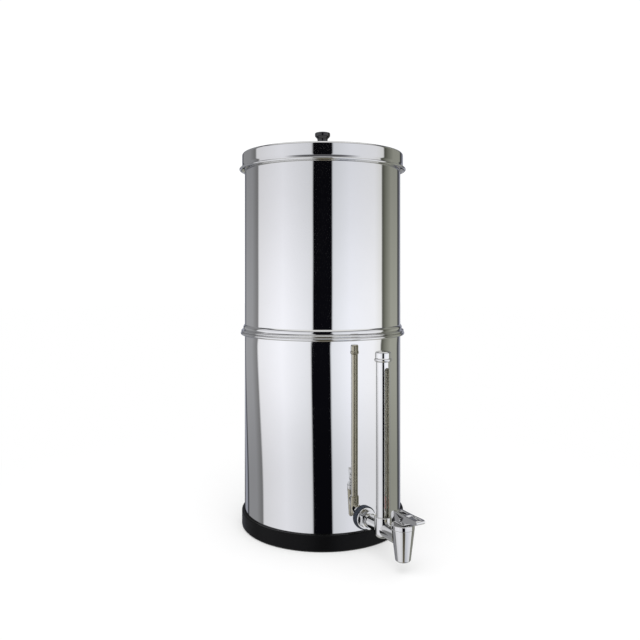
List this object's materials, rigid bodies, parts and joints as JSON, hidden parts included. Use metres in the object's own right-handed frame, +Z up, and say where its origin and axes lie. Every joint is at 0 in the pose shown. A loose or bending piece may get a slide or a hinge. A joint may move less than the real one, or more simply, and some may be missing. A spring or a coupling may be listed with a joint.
{
  "type": "gravity water filter with tap",
  "caption": "Free-standing gravity water filter: a steel upper chamber with ceramic candles stands on a lower chamber with a lever tap and a sight gauge.",
  "frame": {"origin": "centre of the underside of the base ring, on the chambers' common axis", "axes": "+Z up along the chambers' axis; the tap points along -Y"},
  "size_m": [0.217, 0.321, 0.51],
  "materials": {
    "polished_steel": "mirror polish",
    "satin_steel": "satin",
    "base_rubber": "satin moulded",
    "washer_rubber": "matt blue-black",
    "seal_rubber": "matt",
    "knob_plastic": "gloss black",
    "nut_plastic": "satin black",
    "ceramic": "unglazed",
    "carbon": "sintered block",
    "cap_plastic": "moulded black",
    "glass": "clear",
    "float_plastic": "gloss red",
    "silicone": "translucent"
  },
  "bodies": {
    "lower": {"lower_chamber": "polished_steel", "base_ring": "base_rubber", "tap_body": "polished_steel", "tap_outer_washer": "washer_rubber", "tap_inner_washer": "washer_rubber", "tap_lock_nut": "satin_steel", "valve_bonnet": "polished_steel", "valve_spring": "satin_steel", "gauge_sleeve": "polished_steel", "gauge_glass": "glass", "gauge_lower_seal": "seal_rubber", "gauge_upper_seal": "seal_rubber", "gauge_cap": "polished_steel"},
    "upper": {"upper_chamber": "polished_steel", "upper_floor": "satin_steel", "left_candle_ceramic": "ceramic", "right_candle_ceramic": "ceramic", "left_candle_carbon": "carbon", "right_candle_carbon": "carbon", "left_candle_cap": "cap_plastic", "right_candle_cap": "cap_plastic", "candle_seals": "seal_rubber", "candle_wing_nuts": "nut_plastic"},
    "lid": {"lid": "polished_steel", "lid_knob": "knob_plastic", "knob_washer": "satin_steel", "knob_screw": "satin_steel"},
    "stem": {"valve_stem": "satin_steel", "valve_seat_cup": "silicone", "lever_pin": "satin_steel"},
    "lever": {"tap_lever": "polished_steel"},
    "float": {"gauge_float": "float_plastic"}
  },
  "joints": [
    {"name": "upper_lift", "type": "slide", "parent": "lower", "child": "upper", "axis": [0, 0, 1], "range_m": [0, 0.05]},
    {"name": "lid_lift", "type": "slide", "parent": "upper", "child": "lid", "axis": [0, 0, 1], "range_m": [0, 0.05]},
    {"name": "stem_lift", "type": "slide", "parent": "lower", "child": "stem", "axis": [0, 0, 1], "range_m": [0, 0.0031], "deforming": ["valve_spring"]},
    {"name": "lever_tilt", "type": "hinge", "parent": "stem", "child": "lever", "pos_m": [0, -0.1805, 0.05965], "axis": [1, 0, 0], "range_deg": [0, 25], "stiffness_Nm_per_rad": 0.08, "springref_deg": -8.59},
    {"name": "float_rise", "type": "slide", "parent": "lower", "child": "float", "axis": [0, 0, 1], "range_m": [0, 0.145]}
  ],
  "couplings": [
    {"joint": "stem_lift", "follows": "lever_tilt", "m_per_rad": 0.0068755}
  ]
}
